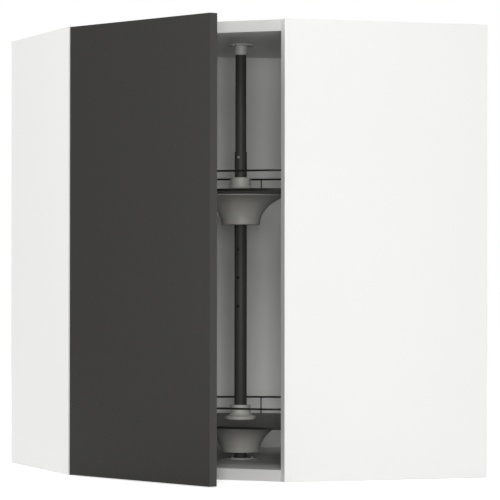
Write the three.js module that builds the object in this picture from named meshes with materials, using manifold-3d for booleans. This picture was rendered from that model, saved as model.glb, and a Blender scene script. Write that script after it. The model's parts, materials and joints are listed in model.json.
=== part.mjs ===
// A wall cabinet for a kitchen corner, with a diagonal door and a carousel of two turning trays.
// Millimetres, +Z up. The origin lies under the pole, on the underside of the bottom panel.
// The room's walls are the planes x = -reach and y = +reach, and the door faces +x and -y.
// The model shows the door ajar, by the angle doorAjar.
import * as THREE from 'three';
import { mergeVertices } from 'three/addons/utils/BufferGeometryUtils.js';
import Module from 'manifold-3d';

const wasm = await Module();
wasm.setup();

// ---- Driving dimensions ------------------------------------------------------------------

// carcass
const height = 800;            // underside to top
const wallWidth = 682;         // from the room's corner along each wall
const sideDepth = 382;         // of each side panel, from the wall to its front edge
const sideBoard = 19;          // thickness of a side panel
const deckBoard = 20;          // thickness of the top and bottom panels
const backBoard = 3.5;         // thickness of a back panel
const backInset = 8.5;         // from the wall to a back panel
const grooveDepth = 7;         // of the grooves that hold the back panels
const postWidth = 38;          // of the square post where the back panels meet
const fit = 0.3;               // gap between two pieces that touch

// hangers in the top rear corners
const hangerWidth = 58;
const hangerDepth = 17;
const hangerHeight = 42;
const hookWidth = 16;
const hookPlate = 3;
const hookReach = 8.5;         // how far a hook's shank goes into its housing
const hookFromTop = 30;        // from the top panel's underside to the hook
const hookLip = 18;            // how far the hook turns down behind the back panel
const hookPlay = 2.5;          // room to adjust the hook in the slots that it passes

// door
const doorBoard = 16;
const doorSideGap = 0.2;       // door edge to opening edge
const doorEndGap = 1.5;        // door to the cabinet's top and bottom
const doorBackGap = 1.5;       // door to the front edges, when shut
const doorAjar = 25.2;         // degrees open in the model
const pivotBeyond = 10.6;      // from the door's hinge edge to the hinge's turning centre
const pivotAhead = 3.2;        // from the door's back to the turning centre

// hinges
const hingeHeight = 150;       // from each end of the cabinet to a hinge
const cupRadius = 17.2;
const cupDepth = 11.5;
const cupWall = 1.3;
const cupFromEdge = 22.5;      // door's hinge edge to the cup's centre
const cupFlangeWidth = 27;
const cupFlangeHeight = 62;
const cupFlangePlate = 1.2;
const cupScrewSpacing = 48;
const cupScrewGrip = 10;       // length of a cup's screw under its head
const trackRadius = 30;        // of the curved link, about the turning centre
const trackWidth = 8;
const linkPlate = 4.4;
const linkArc = [-7, 105];     // degrees about the turning centre that the link covers
const tongueArc = [-5, 55];    // and that a tongue on the cup covers
const tonguePlate = 1.8;
const tongueFoot = 6;          // width of a tongue where it leaves the cup
const cheekArc = [87, 120];    // degrees that the round end of an arm's cheek covers
const cheekPlate = 2.4;
const cheekMargin = 2;         // how far a cheek's round end reaches past the link
const cheekBarEnd = 12;        // turning centre to the end of a cheek's straight part
const plateGap = 0.4;          // between the link, the tongues and the cheeks
const trackPlay = 1;           // room beside the link in the arm and the hinge plate
const plateFromEdge = 37;      // side panel's front edge to the hinge plate's screws
const plateRear = 23;          // from those screws to the plate's rear end
const plateFore = 21;          // and to its front end
const plateHeight = 44;
const plateThickness = 8;
const plateScrewSpacing = 32;
const armThickness = 11;
const armLength = 26;          // of the solid rear end of an arm

// pole
const tubeRadius = 11.3;       // outer tube
const tubeWall = 1.1;
const tubeTop = 582.4;
const innerTubeRadius = 9.9;
const innerTubeWall = 1.5;
const tubeOverlap = 80;        // how far the inner tube reaches into the outer one
const holeRadius = 2.8;        // holes for the pins that carry the trays
const holePitch = 52;
const holeCount = 4;
const lockScrewRadius = 2.6;
const lockScrewDrop = 10;      // outer tube's top to the locking screw
const lockScrewProud = 0.5;    // how far the locking screw stands out of the tube
const ceilingFlangeRadius = 25.8;
const floorFlangeRadius = 29.3;
const flangePlate = 2.5;
const collarRadius = 11.9;
const collarHeight = 17;
const spigotHeight = 11;
const flangeScrewCount = 3;
const flangeScrewInset = 7;    // flange's edge to a screw's centre

// trays, with heights measured from the pin that carries each
const lowerPinHeight = 40;
const upperPinHeight = 456;
const pinRadius = 2.5;
const pinLength = 33;
const washerRadius = 17;
const washerThickness = 4;
const pocketRadius = 19;       // of the hollow in a support that takes the washer and the pin
const supportDrop = 7;         // pin to the support's lower end
const trayRise = 48;           // pin to the tray's underside
const trayBoard = 4.5;
const trayTurnGap = 4.2;       // tray's round back to the shut door, when turned to it
const trayFrontGap = 13.2;     // tray's flat front to the shut door
const trayWallGap = 14.65;     // tray's front corners to the side panels, as they turn past
const trayLeastCorner = 40;    // radius of the front corners, at least
const drumRadius = 35;         // support's lower end
const flareToScrew = 2.9;      // end of the support's hollow curve to the heads of its screws
const flareLeft = 4.3;         // height that it would still rise above the brim's underside
const brimRadius = 100;        // pole to the edge of a support's brim
const brimPlate = 3;           // thickness of the brim
const brimScrewCount = 3;
const brimScrewInset = 10;     // brim's edge to its screws
const hubFootRadius = 28.7;
const hubFootHeight = 6.5;
const hubFootRound = 2.2;      // edge of the hub's foot
const hubRadius = 18.4;
const hubHeight = 26.7;
const railRise = 31;           // tray's top to the rail's centre
const railRadius = 1.75;
const railInset = 5;           // tray's edge to the rail's centre
const railPostRadius = 1.1;
const rearPostAngle = 16.3;    // degrees from straight back to the first rear post
const rearPostStep = 33;       // degrees between rear posts
const rearPostPairs = 3;
const frontPostPlace = 45;     // sideways from the middle to each front post

// screws
const screwRadius = 2;
const screwTip = 1;            // radius of the blunt tip
const screwHeadRadius = 3.8;
const screwHead = 2.3;         // height of the head
const screwHeadEdge = 1.4;     // height of the head's straight side
const screwCrown = 2.7;        // radius of the head's flat top
const screwGrip = 12;          // length under the head
const trayScrewGrip = 6.5;     // length above the brim's underside

// how finely round shapes are divided
const roundSides = 24;         // sides of a turned piece
const supportSides = 36;
const outlineSides = 12;       // lengths in each round stretch of an outline
const trackSides = 8;
const wireSides = 6;
const screwSides = 8;
const railSteps = 36;          // lengths in half of a rail
const flareSteps = 8;
const hubSteps = 5;
const overcut = 1;             // how far a cutting shape runs past the face that it cuts

// ---- Derived places ----------------------------------------------------------------------

const radians = THREE.MathUtils.degToRad;
const diagonal = Math.PI / 4;                            // turn of the door's and trays' own axes
const reach = wallWidth / 2;
const sideFront = reach - sideDepth;                     // y of the right side panel's front edge
const sideInner = reach - sideBoard;
const backInner = reach - backInset - backBoard;
const ceiling = height - deckBoard;
const frontPlane = (sideDepth - sideBoard) * Math.SQRT1_2;   // pole to the decks' front edges
const openingWidth = (wallWidth - sideBoard - sideDepth) * Math.SQRT2;
const doorBack = frontPlane + doorBackGap;               // pole to the shut door's back
const doorWidth = openingWidth - 2 * doorSideGap;
const pivot = new THREE.Vector2(-doorWidth / 2 - pivotBeyond, -doorBack - pivotAhead);
const turnCentre = pivot.clone().rotateAround(new THREE.Vector2(), diagonal);
const hingeLevels = { bottom: hingeHeight, top: height - hingeHeight };
const plateX = -sideFront - plateFromEdge;               // x of the hinge plates' screws
const plateTop = -sideInner + fit + plateThickness;      // y of a hinge plate's open face
const floorPlateTop = deckBoard + fit + flangePlate;
const ceilingPlateBottom = ceiling - fit - flangePlate;
const tubeBottom = floorPlateTop + fit;
const boreRadius = tubeRadius + fit;
const trayReach = sideInner - trayWallGap;               // pole to the trays' front corners
const trayRadius = doorBack - trayTurnGap;
const trayFront = doorBack - trayFrontGap;
const trayCorner = Math.max(trayLeastCorner, trayRadius + trayFront - trayReach
  - Math.sqrt(2 * (trayReach - trayRadius) * (trayReach - trayFront)));   // reaches to trayReach
const trayTop = trayRise + trayBoard;
const railLevel = trayTop + railRise;
const brimUnderside = trayRise - fit - brimPlate;

// ---- Materials ---------------------------------------------------------------------------

const finish = (color, roughness, metalness = 0) =>
  new THREE.MeshStandardMaterial({ color, roughness, metalness });
const whiteBoard = finish(0xf2f2f0, 0.5);
const anthracite = finish(0x3a3936, 0.55);
const greyPlastic = finish(0xb4b5ae, 0.5);
const blackMetal = finish(0x1d1c1a, 0.3, 0.6);
const trayFinish = finish(0x3b3a36, 0.5);
const zincMetal = finish(0xb9bbbd, 0.3, 0.9);

// ---- Shapes ------------------------------------------------------------------------------

/** A closed geometry as a solid for joining and cutting. */
function toSolid(geometry) {
  const bare = geometry.clone();
  bare.deleteAttribute('normal');
  bare.deleteAttribute('uv');
  const merged = mergeVertices(bare);
  const corners = merged.index.array;
  const kept = [];
  for (let i = 0; i < corners.length; i += 3) {
    const [a, b, c] = corners.slice(i, i + 3);
    if (a !== b && b !== c && c !== a) kept.push(a, b, c);   // a lathe's poles give flat triangles
  }
  return new wasm.Manifold(new wasm.Mesh({
    numProp: 3,
    vertProperties: Float32Array.from(merged.attributes.position.array),
    triVerts: Uint32Array.from(kept),
  }));
}

/** A solid as a geometry with flat-shaded faces. */
function toGeometry(solid) {
  const mesh = solid.getMesh();
  const geometry = new THREE.BufferGeometry();
  geometry.setAttribute('position', new THREE.BufferAttribute(mesh.vertProperties, 3));
  geometry.setIndex(new THREE.BufferAttribute(mesh.triVerts, 1));
  geometry.computeVertexNormals();
  return geometry;
}

const cut = (body, ...tools) =>
  toGeometry(tools.reduce((left, tool) => left.subtract(toSolid(tool)), toSolid(body)));
const join = (...parts) => toGeometry(parts.map(toSolid).reduce((all, part) => all.add(part)));

/** A block between two values on each axis. */
function block([x0, x1], [y0, y1], [z0, z1]) {
  const geometry = new THREE.BoxGeometry(x1 - x0, y1 - y0, z1 - z0);
  return geometry.translate((x0 + x1) / 2, (y0 + y1) / 2, (z0 + z1) / 2);
}

/** An upright prism on a flat outline. */
function prism(outline, [z0, z1], curveSegments = outlineSides) {
  const settings = { depth: z1 - z0, bevelEnabled: false, curveSegments };
  return new THREE.ExtrudeGeometry(outline, settings).translate(0, 0, z0);
}

/** A piece turned about Z from [radius, height] points that run upwards on the outside. */
function turned(profile, sides = roundSides) {
  const points = profile.map(([radius, level]) => new THREE.Vector2(radius, level));
  return new THREE.LatheGeometry(points, sides).rotateX(Math.PI / 2);
}

const disc = (radius, [z0, z1], sides = roundSides) =>
  turned([[0, z0], [radius, z0], [radius, z1], [0, z1]], sides);
const ring = (inner, outer, [z0, z1], sides = roundSides) =>
  turned([[inner, z0], [outer, z0], [outer, z1], [inner, z1], [inner, z0]], sides);

/** A flat plate between two radii and two angles about Z. */
function arcPlate([inner, outer], [from, to], levels) {
  const outline = new THREE.Shape();
  outline.absarc(0, 0, outer, radians(from), radians(to), false);
  outline.absarc(0, 0, inner, radians(to), radians(from), true);
  outline.closePath();
  return prism(outline, levels, trackSides);
}

/** Two plates alike, above and below z = 0, made by a function of their levels. */
const pairOf = (make, from, thickness) =>
  join(make([from, from + thickness]), make([-from - thickness, -from]));

/** A pan-head screw that points down, with the underside of its head at z = 0. */
function screw(grip) {
  return turned([[0, -grip], [screwTip, -grip], [screwRadius, -grip + screwRadius],
    [screwRadius, 0], [screwHeadRadius, 0], [screwHeadRadius, screwHeadEdge],
    [screwCrown, screwHead], [0, screwHead]], screwSides);
}

/** The hole for that screw, down from the face that its head lies on. */
const screwHole = (grip) => disc(screwRadius + fit, [-grip - fit, overcut], screwSides);

/** Moves a screw or its hole to a place on the floor, or turns it over to the ceiling. */
const at = (geometry, [x, y], z, flip = false) =>
  (flip ? geometry.rotateX(Math.PI) : geometry).translate(x, y, z);

/** A range made longer by the same amount at both ends. */
const widened = ([low, high], by = fit) => [low - by, high + by];

/** Adds a named piece to a group. */
function piece(group, name, geometry, material) {
  const mesh = new THREE.Mesh(geometry, material);
  mesh.name = name;
  group.add(mesh);
}

/** A group with its own place and its own turn about Z. */
function placed(parent, x, y, z, turn = 0) {
  const group = new THREE.Group();
  group.position.set(x, y, z);
  group.rotation.z = turn;
  parent.add(group);
  return group;
}

/** The block that a side of the cabinet has, drawn for the right side; the left one mirrors it. */
function sideBlock(side, x, y, z) {
  if (side === 'right') return block(x, y, z);
  return block([-y[1], -y[0]], [-x[1], -x[0]], z);
}

// ---- Carcass -----------------------------------------------------------------------------

const cabinet = new THREE.Group();
const backSpan = [-reach + postWidth - grooveDepth + fit, sideInner + grooveDepth - fit];
const backPlace = [backInner, backInner + backBoard];
const backLevels = [deckBoard - grooveDepth + fit, ceiling + grooveDepth - fit];

/** The groove for one back panel, as a block that every board around the panel is cut by. */
const backGroove = (side) =>
  sideBlock(side, widened(backSpan), widened(backPlace), widened(backLevels));

/** The top or bottom panel: a square with its front corner cut off. */
function deck(levels) {
  const outline = new THREE.Shape();
  const edge = sideInner - fit;
  const cutEnd = edge - frontPlane * Math.SQRT2;         // where the diagonal front starts
  outline.moveTo(-reach, reach);
  outline.lineTo(-reach, -edge);
  outline.lineTo(-cutEnd, -edge);
  outline.lineTo(edge, cutEnd);
  outline.lineTo(edge, reach);
  outline.closePath();
  return cut(prism(outline, levels), backGroove('right'), backGroove('left'));
}

const hookX = sideInner - hangerWidth / 2;
const hookZ = ceiling - hookFromTop;
const hookSpan = [hookX - hookWidth / 2, hookX + hookWidth / 2];
const hookSlot = (side) =>
  sideBlock(side, widened(hookSpan, hookPlay), [backInner - hookReach, reach],
    widened([hookZ, hookZ + hookPlate], hookPlay));

/** The holes for a hinge plate's two screws, in the plate and in the panel under it. */
const plateScrewHoles = (level) => [-1, 1].map((end) =>
  screwHole(screwGrip).rotateX(-Math.PI / 2)
    .translate(plateX, plateTop, level + end * plateScrewSpacing / 2));

for (const side of ['right', 'left']) {
  const panel = sideBlock(side, [sideInner, reach], [sideFront, reach], [0, height]);
  const holes = side === 'left' ? Object.values(hingeLevels).flatMap(plateScrewHoles) : [];
  piece(cabinet, `side_panel_${side}`, cut(panel, backGroove(side), ...holes), whiteBoard);

  const back = sideBlock(side, backSpan, backPlace, backLevels);
  piece(cabinet, `back_panel_${side}`, cut(back, hookSlot(side)), whiteBoard);

  const housing = sideBlock(side, [sideInner - hangerWidth, sideInner - fit],
    [backInner - fit - hangerDepth, backInner - fit], [ceiling - fit - hangerHeight, ceiling - fit]);
  piece(cabinet, `hanger_housing_${side}`, cut(housing, hookSlot(side)), whiteBoard);

  const shank = sideBlock(side, hookSpan, [backInner - hookReach + fit, reach - fit],
    [hookZ, hookZ + hookPlate]);
  const lip = sideBlock(side, hookSpan, [reach - fit - hookPlate, reach - fit],
    [hookZ - hookLip, hookZ + hookPlate]);
  piece(cabinet, `hanger_hook_${side}`, join(shank, lip), zincMetal);
}

/** Where the screws of a round flange stand. */
const flangeScrews = (flangeRadius) => Array.from({ length: flangeScrewCount }, (_, i) => {
  const angle = 2 * Math.PI * (i + 0.5) / flangeScrewCount;
  const radius = flangeRadius - flangeScrewInset;
  return [radius * Math.cos(angle), radius * Math.sin(angle)];
});
const floorScrews = flangeScrews(floorFlangeRadius);
const ceilingScrews = flangeScrews(ceilingFlangeRadius);
const floorHoles = floorScrews.map((place) => at(screwHole(screwGrip), place, floorPlateTop));
const ceilingHoles = ceilingScrews.map((place) =>
  at(screwHole(screwGrip), place, ceilingPlateBottom, true));

piece(cabinet, 'bottom_panel', cut(deck([0, deckBoard]), ...floorHoles), whiteBoard);
piece(cabinet, 'top_panel', cut(deck([ceiling, height]), ...ceilingHoles), whiteBoard);
piece(cabinet, 'corner_post',
  cut(block([-reach, -reach + postWidth], [reach - postWidth, reach],
    [deckBoard + fit, ceiling - fit]), backGroove('right'), backGroove('left')),
  whiteBoard);

// ---- Pole --------------------------------------------------------------------------------

const pole = placed(cabinet, 0, 0, 0, diagonal);
const across = [-2 * tubeRadius, 2 * tubeRadius];
const pinLevels = [lowerPinHeight,
  ...Array.from({ length: holeCount }, (_, i) => upperPinHeight - holePitch * i)];
const pinHoles = pinLevels.map((level) =>
  disc(holeRadius, across, screwSides).rotateX(Math.PI / 2).translate(0, 0, level));
const lockLevel = tubeTop - lockScrewDrop;
const lockPiece = (radius, span) =>
  disc(radius, span, screwSides).rotateX(Math.PI / 2).translate(0, 0, lockLevel);
piece(pole, 'pole_outer_tube',
  cut(ring(tubeRadius - tubeWall, tubeRadius, [tubeBottom, tubeTop]),
    ...pinHoles, lockPiece(lockScrewRadius + fit, [0, across[1]])),
  blackMetal);
piece(pole, 'pole_inner_tube',
  ring(innerTubeRadius - innerTubeWall, innerTubeRadius,
    [tubeTop - tubeOverlap, ceilingPlateBottom - fit]),
  blackMetal);
piece(pole, 'pole_lock_screw',
  lockPiece(lockScrewRadius, [innerTubeRadius + fit, tubeRadius + lockScrewProud]), zincMetal);

piece(cabinet, 'floor_flange',
  cut(join(disc(floorFlangeRadius, [deckBoard + fit, floorPlateTop]),
    disc(tubeRadius - tubeWall - fit, [deckBoard + fit, floorPlateTop + spigotHeight])),
  ...floorHoles),
  greyPlastic);
piece(cabinet, 'ceiling_flange',
  cut(join(disc(ceilingFlangeRadius, [ceilingPlateBottom, ceiling - fit]),
    disc(collarRadius, [ceilingPlateBottom - collarHeight, ceiling - fit])),
  disc(innerTubeRadius + fit, [ceilingPlateBottom - collarHeight - overcut, ceilingPlateBottom]),
  ...ceilingHoles),
  greyPlastic);
floorScrews.forEach((place, i) => piece(cabinet, `floor_flange_screw_${i + 1}`,
  at(screw(screwGrip), place, floorPlateTop + fit), zincMetal));
ceilingScrews.forEach((place, i) => piece(cabinet, `ceiling_flange_screw_${i + 1}`,
  at(screw(screwGrip), place, ceilingPlateBottom - fit, true), zincMetal));

// ---- Trays -------------------------------------------------------------------------------

/** Adds half of the tray's edge to a path: the round back, or the flat front with its corners. */
function trayEdge(half, inset, path = new THREE.Shape()) {
  const radius = trayRadius - inset;
  if (half === 'back') return path.absarc(0, 0, radius, 0, Math.PI, false);
  const corner = trayCorner - inset;
  const cornerY = corner - (trayFront - inset);
  path.moveTo(-radius, 0);
  path.lineTo(-radius, cornerY);
  path.absarc(corner - radius, cornerY, corner, Math.PI, 1.5 * Math.PI, false);
  path.absarc(radius - corner, cornerY, corner, 1.5 * Math.PI, 2 * Math.PI, false);
  return path.lineTo(radius, 0);
}

/** The line of half a rail: the tray's edge, lifted, with half a gap at each end. */
class RailLine extends THREE.Curve {
  constructor(edge) {
    super();
    this.edge = edge;
  }

  getPoint(t, target = new THREE.Vector3()) {
    const endGap = fit / 2 / this.edge.getLength();
    const { x, y } = this.edge.getPoint(endGap + t * (1 - 2 * endGap));
    return target.set(x, y, railLevel);
  }
}

/** Where the posts of half a rail stand: in pairs around the back, or on the front and corners. */
function railPosts(half) {
  const radius = trayRadius - railInset;
  const front = trayFront - railInset;
  const cornerShare = (trayCorner - railInset) * (1 - Math.SQRT1_2);
  const rearAngles = Array.from({ length: rearPostPairs }, (_, i) =>
    radians(rearPostAngle + rearPostStep * i));
  const places = half === 'back'
    ? rearAngles.map((angle) => [radius * Math.sin(angle), radius * Math.cos(angle)])
    : [[radius - cornerShare, cornerShare - front], [frontPostPlace, -front]];
  return places.flatMap(([x, y]) => [[x, y], [-x, y]]);
}

/** Half of a rail: a bent wire and its posts, which go down into the tray. */
function rail(half) {
  const section = new THREE.Shape();
  section.absarc(0, 0, railRadius, 0, 2 * Math.PI, false);
  const wire = new THREE.ExtrudeGeometry(section, { steps: railSteps, curveSegments: wireSides / 2,
    extrudePath: new RailLine(trayEdge(half, railInset)) });
  const posts = railPosts(half).map((place) =>
    at(disc(railPostRadius, [trayRise + fit, railLevel], wireSides), place, 0));
  return join(wire, ...posts);
}

const brimScrews = Array.from({ length: brimScrewCount }, (_, i) => {
  const angle = 2 * Math.PI * i / brimScrewCount;
  const radius = brimRadius - brimScrewInset;
  return [radius * Math.cos(angle), radius * Math.sin(angle)];
});
const washerLevels = [pinRadius + fit, pinRadius + fit + washerThickness];

/** The support under a tray: a drum that flares out like a trumpet into a flat brim. */
function support() {
  const top = trayRise - fit;
  const lastRise = brimUnderside + supportDrop;
  const flareEnd = brimRadius - brimScrewInset - screwHeadRadius - flareToScrew;
  const run = (rise) => 1 - Math.sqrt(1 - (rise / (lastRise + flareLeft)) ** 2);
  const flare = Array.from({ length: flareSteps + 1 }, (_, i) => {
    const rise = lastRise * Math.sin((i / flareSteps) * Math.PI / 2);
    const share = run(rise) / run(lastRise);
    return [drumRadius + (flareEnd - drumRadius) * share, rise - supportDrop];
  });
  const trumpet = turned([[0, -supportDrop], ...flare, [brimRadius, brimUnderside],
    [brimRadius, top], [0, top]], supportSides);
  const levels = widened([-supportDrop, top], overcut);
  const screwHoles = brimScrews.map((place) =>
    at(disc(screwRadius + fit, levels, screwSides), place, 0));
  return cut(trumpet, disc(pocketRadius, [levels[0], washerLevels[1] + fit]),
    disc(boreRadius, levels), ...screwHoles);
}

/** The hub on top of a tray: a round foot that sweeps up into a collar around the pole. */
function hub() {
  const base = trayTop + fit;
  const footTop = base + hubFootHeight;
  const sweep = hubFootRadius - hubFootRound - hubRadius;
  const curve = Array.from({ length: hubSteps + 1 }, (_, i) => {
    const angle = (i / hubSteps) * Math.PI / 2;
    return [hubRadius + sweep * (1 - Math.sin(angle)), footTop + sweep * (1 - Math.cos(angle))];
  });
  return turned([[boreRadius, base], [hubFootRadius - hubFootRound, base],
    [hubFootRadius, base + hubFootRound], [hubFootRadius, footTop - hubFootRound], ...curve,
    [hubRadius, base + hubHeight], [boreRadius, base + hubHeight], [boreRadius, base]]);
}

/** The tray itself, with holes for the pole, the rail's posts and the support's screws. */
function board() {
  const through = widened([trayRise, trayTop], overcut);
  const posts = [...railPosts('back'), ...railPosts('front')].map((place) =>
    at(disc(railPostRadius + fit, through, wireSides), place, 0));
  const screws = brimScrews.map((place) =>
    at(disc(screwRadius + fit, [through[0], brimUnderside + trayScrewGrip + fit], screwSides),
      place, 0));
  const outline = trayEdge('front', 0, trayEdge('back', 0));
  return cut(prism(outline, [trayRise, trayTop]), disc(boreRadius + fit, through),
    ...posts, ...screws);
}

for (const [level, pinHeight] of [['lower', lowerPinHeight], ['upper', upperPinHeight]]) {
  const still = placed(cabinet, 0, 0, pinHeight, diagonal);
  piece(still, `${level}_pin`,
    disc(pinRadius, [-pinLength / 2, pinLength / 2], screwSides).rotateX(Math.PI / 2), zincMetal);
  piece(still, `${level}_bearing_washer`, ring(boreRadius, washerRadius, washerLevels), greyPlastic);

  const tray = placed(cabinet, 0, 0, pinHeight, diagonal);
  piece(tray, `${level}_tray_board`, board(), trayFinish);
  piece(tray, `${level}_tray_rail_back`, rail('back'), blackMetal);
  piece(tray, `${level}_tray_rail_front`, rail('front'), blackMetal);
  piece(tray, `${level}_tray_hub`, hub(), greyPlastic);
  piece(tray, `${level}_tray_support`, support(), greyPlastic);
  brimScrews.forEach((place, i) => piece(tray, `${level}_tray_screw_${i + 1}`,
    at(screw(trayScrewGrip), place, brimUnderside - fit, true), zincMetal));
}

// ---- Hinges ------------------------------------------------------------------------------
// The turning centre lies in the end of the left side panel. A curved link slides in a fork on
// the arm, and two tongues on the cup slide over the link, so the link turns half as far.

const trackSpan = [trackRadius - trackWidth / 2, trackRadius + trackWidth / 2];
const tongueFrom = linkPlate / 2 + plateGap;
const cheekFrom = tongueFrom + tonguePlate + plateGap;
const aboutTurnCentre = (geometry) => geometry.translate(turnCentre.x, turnCentre.y, 0);

/** An arm: a block on the hinge plate, with two cheeks that reach out over the curved link. */
function hingeArm() {
  const depth = [plateTop + fit, plateTop + fit + armThickness];
  const rear = plateX - plateRear;
  const cheekTop = cheekFrom + cheekPlate;
  const cheek = (levels) => join(
    block([rear, turnCentre.x - cheekBarEnd], depth, levels),
    aboutTurnCentre(arcPlate([trackSpan[0], trackSpan[1] + cheekMargin], cheekArc, levels)));
  const clearing = disc(trackSpan[0] - trackPlay, widened([-cheekTop, cheekTop], overcut),
    supportSides);
  return cut(join(block([rear, rear + armLength], depth, [-cheekTop, cheekTop]),
    pairOf(cheek, cheekFrom, cheekPlate)), aboutTurnCentre(clearing));
}

/** The plate under an arm, with its screws' holes and a slot for the end of the curved link. */
function hingePlate() {
  const body = block([plateX - plateRear, plateX + plateFore],
    [-sideInner + fit, plateTop], [-plateHeight / 2, plateHeight / 2]);
  const slot = disc(trackSpan[1] + trackPlay, [-tongueFrom, tongueFrom], supportSides);
  return cut(body, aboutTurnCentre(slot), ...plateScrewHoles(0));
}

for (const [end, level] of Object.entries(hingeLevels)) {
  const fixed = placed(cabinet, 0, 0, level);
  piece(fixed, `hinge_plate_${end}`, hingePlate(), zincMetal);
  piece(fixed, `hinge_arm_${end}`, hingeArm(), zincMetal);
  for (const [place, side] of [['lower', -1], ['upper', 1]]) {
    piece(fixed, `hinge_plate_${end}_${place}_screw`, screw(screwGrip).rotateX(-Math.PI / 2)
      .translate(plateX, plateTop + fit, side * plateScrewSpacing / 2), zincMetal);
  }
}

const doorAxes = placed(cabinet, 0, 0, 0, diagonal);
const links = placed(doorAxes, pivot.x, pivot.y, 0, radians(-doorAjar / 2));
for (const [end, level] of Object.entries(hingeLevels)) {
  const link = arcPlate(trackSpan, linkArc, [-linkPlate / 2, linkPlate / 2]);
  piece(links, `hinge_link_${end}`, link.translate(0, 0, level), zincMetal);
}

// ---- Door --------------------------------------------------------------------------------
// Drawn shut, about the turning centre: x runs along the door and y into the cabinet.

const door = placed(doorAxes, pivot.x, pivot.y, 0, radians(-doorAjar));
const cupX = pivotBeyond + cupFromEdge;
const cupTop = fit + cupFlangePlate;                     // a cup's flange above the door's back

/** Turns a piece drawn along Z so that it lies along y, lifted off the door's back. */
const ontoDoor = (geometry, x, z, lift = 0) =>
  geometry.rotateX(-Math.PI / 2).translate(x, pivotAhead + lift, z);

const cupPockets = Object.values(hingeLevels).map((z) =>
  ontoDoor(disc(cupRadius + fit, [-cupDepth - fit, overcut]), cupX, z));
const cupScrews = Object.entries(hingeLevels).flatMap(([end, z]) =>
  [['lower', -1], ['upper', 1]].map(([place, side]) =>
    ({ name: `hinge_cup_${end}_${place}_screw`, z: z + side * cupScrewSpacing / 2 })));
const cupScrewHole = (z) => ontoDoor(screwHole(cupScrewGrip), cupX, z, cupTop);
piece(door, 'door_panel',
  cut(block([pivotBeyond, pivotBeyond + doorWidth], [pivotAhead - doorBoard, pivotAhead],
    [doorEndGap, height - doorEndGap]), ...cupPockets, ...cupScrews.map(({ z }) => cupScrewHole(z))),
  anthracite);

/** A hinge cup: a round cup let into the door, its flange, and two curved tongues. */
function hingeCup() {
  const shell = ontoDoor(disc(cupRadius, [-cupDepth, cupTop]), cupX, 0);
  const flange = block([cupX - cupFlangeWidth / 2, cupX + cupFlangeWidth / 2],
    [pivotAhead + fit, pivotAhead + cupTop], [-cupFlangeHeight / 2, cupFlangeHeight / 2]);
  const hollow = ontoDoor(disc(cupRadius - cupWall, [-cupDepth + cupWall, cupTop + overcut]), cupX, 0);
  const holes = [-1, 1].map((side) => cupScrewHole(side * cupScrewSpacing / 2));
  const middleOfCupFloor = pivotAhead - cupDepth + cupWall / 2;
  const tongue = (levels) => join(
    arcPlate(widened(trackSpan, -fit), tongueArc, levels),
    block([trackRadius - tongueFoot / 2, trackRadius + tongueFoot / 2], [middleOfCupFloor, 0], levels));
  return join(cut(join(shell, flange), hollow, ...holes), pairOf(tongue, tongueFrom, tonguePlate));
}

for (const [end, level] of Object.entries(hingeLevels)) {
  piece(door, `hinge_cup_${end}`, hingeCup().translate(0, 0, level), zincMetal);
}
for (const { name, z } of cupScrews) {
  piece(door, name, ontoDoor(screw(cupScrewGrip), cupX, z, cupTop + fit), zincMetal);
}

export default cabinet;
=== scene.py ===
# %% [markdown]
# # A corner wall cabinet with a carousel
# This notebook dresses the imported model of a kitchen wall cabinet that hangs in a corner. Its door
# stands ajar, and behind it two round trays turn on a pole. The imported model fixes every size, so
# each piece made here takes its place from it. The model is loaded first.

# %% Load the frame
import json
import math

import bmesh
import bpy
from mathutils import Matrix, Quaternion, Vector


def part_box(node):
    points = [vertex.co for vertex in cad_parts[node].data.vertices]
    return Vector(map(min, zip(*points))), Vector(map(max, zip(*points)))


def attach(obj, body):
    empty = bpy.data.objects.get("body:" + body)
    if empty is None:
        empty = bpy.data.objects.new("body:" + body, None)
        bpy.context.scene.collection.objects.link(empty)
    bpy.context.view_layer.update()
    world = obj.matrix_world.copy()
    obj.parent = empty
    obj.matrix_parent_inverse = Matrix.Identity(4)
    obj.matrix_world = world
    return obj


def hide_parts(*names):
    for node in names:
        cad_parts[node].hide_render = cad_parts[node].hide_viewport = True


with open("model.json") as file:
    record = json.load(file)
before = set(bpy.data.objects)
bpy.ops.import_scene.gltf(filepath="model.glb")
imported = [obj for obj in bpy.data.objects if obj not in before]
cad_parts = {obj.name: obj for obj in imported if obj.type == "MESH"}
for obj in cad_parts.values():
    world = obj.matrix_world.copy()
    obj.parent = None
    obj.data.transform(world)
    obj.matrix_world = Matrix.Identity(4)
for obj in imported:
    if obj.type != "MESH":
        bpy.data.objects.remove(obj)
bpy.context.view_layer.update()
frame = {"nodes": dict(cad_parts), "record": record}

# %% [markdown]
# ## The camera
# The photograph was taken from far away with a long lens, so upright edges stay almost parallel. The
# camera could be aimed with a Track To constraint, but a heading, a tilt and a roll say the same
# with three numbers, and the other views can take over from it.

# %% Camera
VIEW_REACH = 100
SENSOR = 0.036
FOCAL_LENGTH = 0.21972
CAMERA_PLACE = Vector((5.2693, -1.8799, 0.3630))
HEADING = math.radians(-70.19)
TILT = math.radians(0.407)
ROLL = math.radians(0.057)

camera = bpy.data.objects.new("camera", bpy.data.cameras.new("camera"))
bpy.context.scene.collection.objects.link(camera)
bpy.context.scene.camera = camera
camera.data.sensor_width = SENSOR * 1000
camera.data.lens = FOCAL_LENGTH * 1000
camera.data.clip_end = VIEW_REACH
camera.location = CAMERA_PLACE
gaze = Vector((math.sin(HEADING), math.cos(HEADING), math.tan(TILT)))
camera.rotation_mode = "QUATERNION"
camera.rotation_quaternion = gaze.to_track_quat("-Z", "Y") @ Quaternion((0, 0, 1), ROLL)
print("camera", round(CAMERA_PLACE.length, 2), "m from the pole's foot")

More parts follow.
